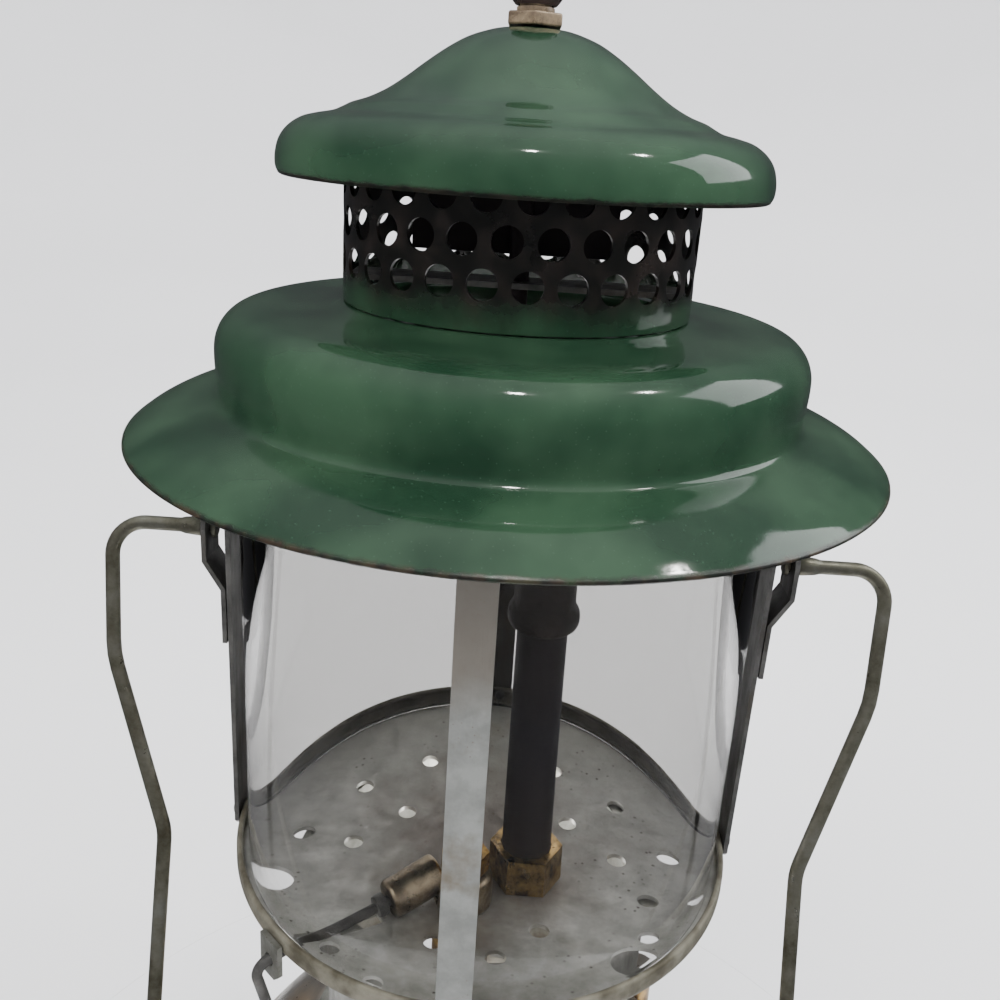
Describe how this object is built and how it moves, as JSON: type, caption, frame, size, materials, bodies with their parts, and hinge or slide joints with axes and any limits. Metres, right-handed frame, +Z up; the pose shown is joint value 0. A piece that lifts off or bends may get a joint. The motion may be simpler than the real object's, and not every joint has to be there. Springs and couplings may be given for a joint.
{
  "type": "mantle lantern",
  "caption": "Liquid-fuel mantle lantern: pressure fount, vented pan, clear globe in a strap cage, green enamelled ventilator and a swinging wire bail.",
  "frame": {"origin": "centre of the fount's foot, on the surface that the lantern stands on", "axes": "+Z up along the lantern's centre line to the ball nut; +X to the right seen from the front, along the bail's pivot line; -Y to the front, where the valve wheel is"},
  "size_m": [0.1834, 0.168, 0.3568],
  "materials": {
    "green_enamel": "glossy vitreous enamel, chipped at the edges and sooted on the neck",
    "galvanised_steel": "dull galvanised sheet with brown patina",
    "bail_steel": "dull plated wire with brown patches",
    "heat_dark_steel": "heat-darkened steel",
    "cast_iron": "heat-darkened cast surface",
    "brass": "tarnished brass",
    "nickelled_brass": "worn nickel plate over brass",
    "clear_glass": "clear glass, lightly scuffed",
    "pump_leather": "oiled leather",
    "gasket_rubber": "matt rubber",
    "dark_knob": "dark moulded knob, slightly glossy"
  },
  "bodies": {
    "lantern": {"fount_shell": "nickelled_brass", "fount_bottom": "nickelled_brass", "filler_bushing": "brass", "pump_cylinder": "brass", "check_valve": "brass", "pump_cap": "nickelled_brass", "frame_collar": "galvanised_steel", "frame_pan": "galvanised_steel", "upright_front": "galvanised_steel", "upright_right": "galvanised_steel", "upright_back": "galvanised_steel", "upright_left": "galvanised_steel", "rivet_front": "heat_dark_steel", "rivet_right": "heat_dark_steel", "rivet_back": "heat_dark_steel", "rivet_left": "heat_dark_steel", "bail_ear_left": "galvanised_steel", "bail_ear_right": "galvanised_steel", "ventilator_stud": "heat_dark_steel", "stud_lock_nut": "heat_dark_steel", "burner_casting": "cast_iron", "burner_cap_left": "cast_iron", "burner_cap_right": "cast_iron", "burner_screen_left": "heat_dark_steel", "burner_screen_right": "heat_dark_steel", "air_tube": "heat_dark_steel", "air_tube_nut": "brass", "generator_tube": "heat_dark_steel", "generator_nut": "brass", "generator_elbow_nut": "brass", "tip_cleaner_block": "brass", "lever_bracket": "galvanised_steel", "valve_body": "brass", "valve_packing_nut": "brass", "fuel_pickup_tube": "brass"},
    "globe_body": {"globe": "clear_glass"},
    "ventilator": {"hood": "green_enamel", "neck_band": "green_enamel", "neck_crossbar": "galvanised_steel", "cap": "green_enamel"},
    "ball_nut": {"ball_nut_sleeve": "brass", "ball_knob": "dark_knob"},
    "bail_body": {"bail": "bail_steel"},
    "valve_knob": {"valve_wheel": "dark_knob", "valve_stem": "brass"},
    "lever": {"tip_cleaner_lever": "heat_dark_steel"},
    "needle": {"cleaning_needle": "nickelled_brass"},
    "plunger": {"plunger_rod": "nickelled_brass", "pump_leather_cup": "pump_leather"},
    "air_knob": {"pump_knob": "dark_knob", "air_stem": "brass"},
    "filler_lid": {"filler_cap": "nickelled_brass", "filler_gasket": "gasket_rubber"}
  },
  "joints": [
    {"name": "globe_lift", "type": "slide", "parent": "lantern", "child": "globe_body", "axis": [0, 0, 1], "range_m": [0, 0.135]},
    {"name": "ventilator_lift", "type": "slide", "parent": "globe_body", "child": "ventilator", "axis": [0, 0, 1], "range_m": [0, 0.08]},
    {"name": "ball_nut_lift", "type": "slide", "parent": "ventilator", "child": "ball_nut", "axis": [0, 0, 1], "range_m": [0, 0.03]},
    {"name": "bail_swing", "type": "hinge", "parent": "lantern", "child": "bail_body", "pos_m": [0, 0, 0.2337], "axis": [-1, 0, 0], "range_deg": [0, 320.5]},
    {"name": "valve_turn", "type": "hinge", "parent": "lantern", "child": "valve_knob", "pos_m": [-0.0032, -0.021, 0.111], "axis": [-0.342, -0.9397, 0], "range_deg": [0, 450]},
    {"name": "lever_turn", "type": "hinge", "parent": "lantern", "child": "lever", "pos_m": [-0.0199, -0.0275, 0.1578], "axis": [0.8032, 0.5491, 0.2308], "range_deg": [0, 180]},
    {"name": "needle_lift", "type": "slide", "parent": "lantern", "child": "needle", "axis": [0, 0, 1], "range_m": [0, 0.0021]},
    {"name": "pump_stroke", "type": "slide", "parent": "lantern", "child": "plunger", "axis": [0.5908, -0.6562, 0.4695], "range_m": [0, 0.042]},
    {"name": "air_knob_turn", "type": "hinge", "parent": "plunger", "child": "air_knob", "pos_m": [0.04817, -0.0535, 0.053], "axis": [0.5908, -0.6562, 0.4695], "range_deg": [-270, 270]},
    {"name": "filler_cap_lift", "type": "slide", "parent": "lantern", "child": "filler_lid", "axis": [0, 0, 1], "range_m": [0, 0.03]}
  ],
  "couplings": [
    {"joint": "needle_lift", "follows": "lever_turn", "m_per_rad": 0.000637}
  ]
}
